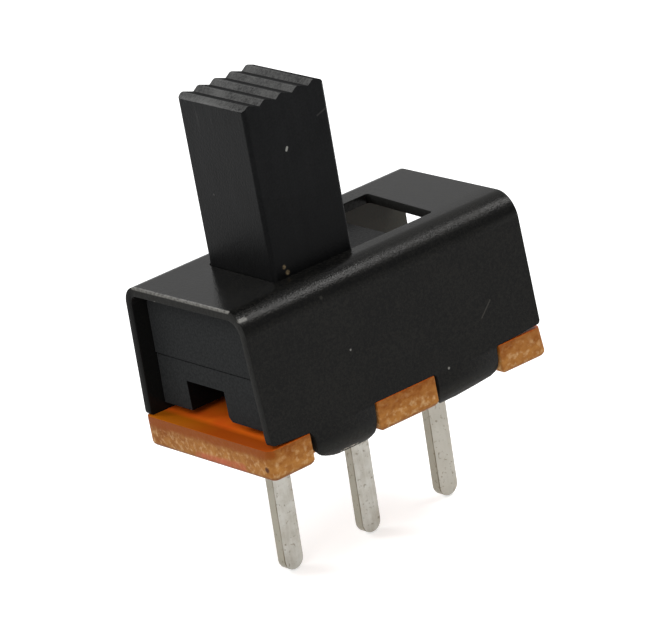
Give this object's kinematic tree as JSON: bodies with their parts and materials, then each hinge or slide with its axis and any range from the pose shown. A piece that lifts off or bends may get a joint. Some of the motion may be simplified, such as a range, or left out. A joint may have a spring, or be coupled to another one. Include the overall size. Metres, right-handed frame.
{
  "type": "slide switch",
  "caption": "Miniature board-mounted slide switch: folded black steel cover clinched to a laminate base, sliding block with a tall ribbed knob, flat terminals in a row.",
  "frame": {"origin": "on the middle terminal's axis, in the plane of the clinched tabs' feet, where the circuit board's face lies", "axes": "+X along the row of terminals and the knob's travel, away from the end where the knob stands at rest; +Y across the body; +Z out of the board, through the knob"},
  "size_m": [0.0106, 0.0062, 0.0148],
  "materials": {
    "black_coated_steel": "thin semi-gloss black coating on sheet steel",
    "laminate": "paper phenolic laminate, glossy faces and rough speckled cut edges",
    "black_moulding": "fine matt moulded surface",
    "plated_bronze": "silver-plated spring bronze",
    "tinned_brass": "dull tin plating"
  },
  "bodies": {
    "frame": {"cover": "black_coated_steel", "base_plate": "laminate", "terminal_left": "tinned_brass", "terminal_common": "tinned_brass", "terminal_right": "tinned_brass"},
    "slide": {"slider": "black_moulding", "moving_contact": "plated_bronze"}
  },
  "joints": [
    {"name": "knob_slide", "type": "slide", "parent": "frame", "child": "slide", "axis": [1, 0, 0], "range_m": [0, 0.0028]}
  ]
}
